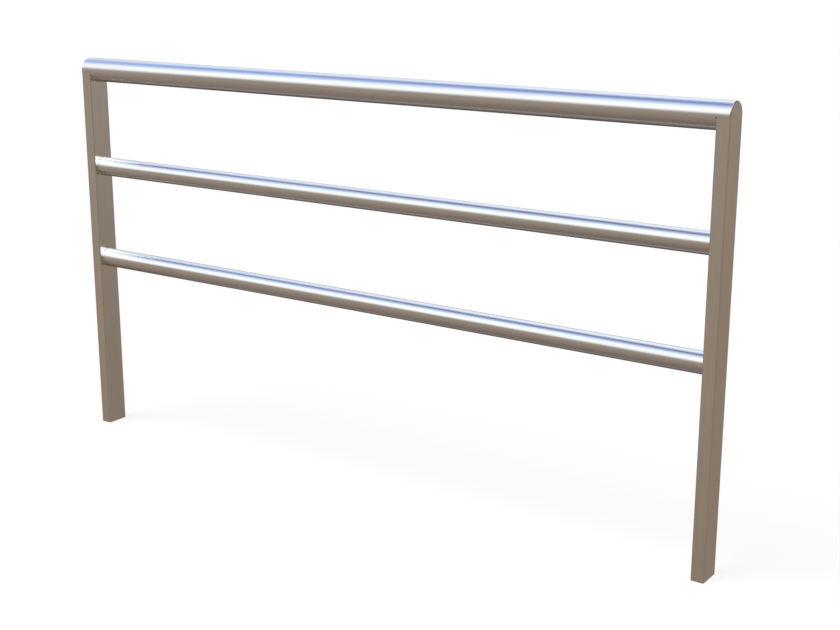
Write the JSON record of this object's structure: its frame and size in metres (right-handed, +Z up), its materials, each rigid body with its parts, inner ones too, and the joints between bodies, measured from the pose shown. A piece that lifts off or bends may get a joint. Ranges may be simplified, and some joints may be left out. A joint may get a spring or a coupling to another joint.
{
  "type": "pedestrian barrier",
  "caption": "Low welded pedestrian barrier: rectangular tube posts for setting in the ground, a round top rail seated on them, and thinner round rails between them.",
  "frame": {"origin": "centre of the flat foot of the left post", "axes": "+X along the barrier from the left post to the right post, +Y towards the back, +Z up along the posts"},
  "size_m": [1.8, 0.0604, 1],
  "materials": {
    "post_steel": "brushed along the post",
    "rail_steel": "finely brushed round tube, brighter than the posts",
    "cap_steel": "ground flush with the post and brushed",
    "weld_steel": "dressed weld"
  },
  "bodies": {
    "root": {"left_post": "post_steel", "right_post": "post_steel", "left_foot_plate": "cap_steel", "right_foot_plate": "cap_steel", "top_rail": "rail_steel", "left_end_cap": "cap_steel", "right_end_cap": "cap_steel", "middle_rail": "rail_steel", "lower_rail": "rail_steel", "left_saddle_weld": "weld_steel", "right_saddle_weld": "weld_steel", "left_middle_weld": "weld_steel", "right_middle_weld": "weld_steel", "left_lower_weld": "weld_steel", "right_lower_weld": "weld_steel"}
  },
  "joints": []
}
